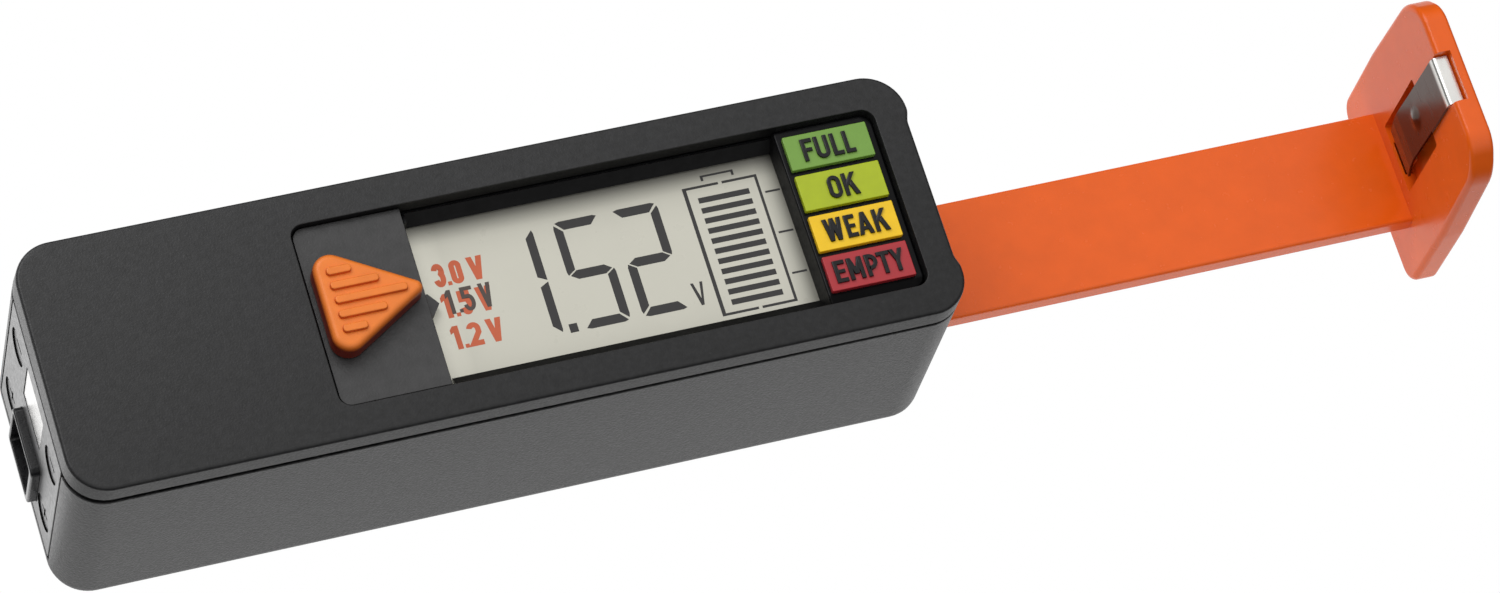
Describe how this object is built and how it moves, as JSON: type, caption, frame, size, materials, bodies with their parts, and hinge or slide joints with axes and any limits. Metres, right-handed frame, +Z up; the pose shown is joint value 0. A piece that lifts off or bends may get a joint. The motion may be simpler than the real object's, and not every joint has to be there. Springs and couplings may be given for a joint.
{
  "type": "battery tester",
  "caption": "Hand-held battery tester: display and sliding selector in a flat-ended housing, contacts for a block cell at one end, pull-out arm that clamps a round cell",
  "frame": {"origin": "middle of the housing's flat underside", "axes": "+X along the housing towards the arm, +Y across it, +Z up out of the display side"},
  "size_m": [0.1458, 0.0258, 0.0281],
  "materials": {
    "housing_grey": "fine matt texture",
    "end_panel_grey": "satin",
    "panel_grey": "satin",
    "bezel_black": "satin black",
    "arm_orange": "satin moulded",
    "knob_orange": "satin moulded",
    "contact_nickel": "nickel-plated spring strip",
    "contact_brass": "bare strip",
    "lcd_glass": "pale reflective display",
    "board_green": "solder mask",
    "epoxy_black": "poured resin",
    "carrier_white": "plain moulded",
    "elastomer": "matt",
    "ferrite": "sintered, matt",
    "capacitor_sleeve": "shrink sleeve",
    "resistor_body": "cement coat",
    "wire_red": "pvc sleeve",
    "screw_zinc": "zinc-plated",
    "label_green": "printed",
    "label_lime": "printed",
    "label_yellow": "printed",
    "label_red": "printed"
  },
  "bodies": {
    "housing": {"bottom_shell": "housing_grey", "top_cover": "housing_grey", "end_panel": "end_panel_grey", "polarity_collar": "bezel_black", "block_contact_minus": "contact_nickel", "block_contact_plus": "contact_nickel", "selector_panel": "panel_grey", "display_bezel": "bezel_black", "lcd_glass": "lcd_glass", "label_full": "label_green", "label_ok": "label_lime", "label_weak": "label_yellow", "label_empty": "label_red", "display_carrier": "carrier_white", "elastomer_strip": "elastomer", "circuit_board": "board_green", "chip_dome": "epoxy_black", "step_up_coil": "ferrite", "buffer_capacitor": "capacitor_sleeve", "load_resistor": "resistor_body", "rail_guide": "bezel_black", "arm_wiper": "contact_brass", "wiper_lead": "wire_red", "housing_screw_1": "screw_zinc", "housing_screw_2": "screw_zinc"},
    "arm": {"slide_arm": "arm_orange", "arm_strip": "contact_brass"},
    "arm_spring": {"arm_leaf": "contact_nickel"},
    "selector": {"selector_knob": "knob_orange", "selector_carriage": "bezel_black", "selector_wiper": "contact_brass"},
    "cell_spring": {"cell_leaf": "contact_nickel"}
  },
  "joints": [
    {"name": "arm_slide", "type": "slide", "parent": "housing", "child": "arm", "axis": [1, 0, 0], "range_m": [-0.049, 0.012]},
    {"name": "arm_spring_flex", "type": "hinge", "parent": "arm", "child": "arm_spring", "pos_m": [0.09795, 0, 0.02585], "axis": [0, 1, 0], "range_deg": [-1, 3]},
    {"name": "selector_slide", "type": "slide", "parent": "housing", "child": "selector", "axis": [0, 1, 0], "range_m": [-0.0033, 0.0033]},
    {"name": "cell_spring_flex", "type": "slide", "parent": "housing", "child": "cell_spring", "axis": [1, 0, 0], "range_m": [-0.0012, 0]}
  ]
}
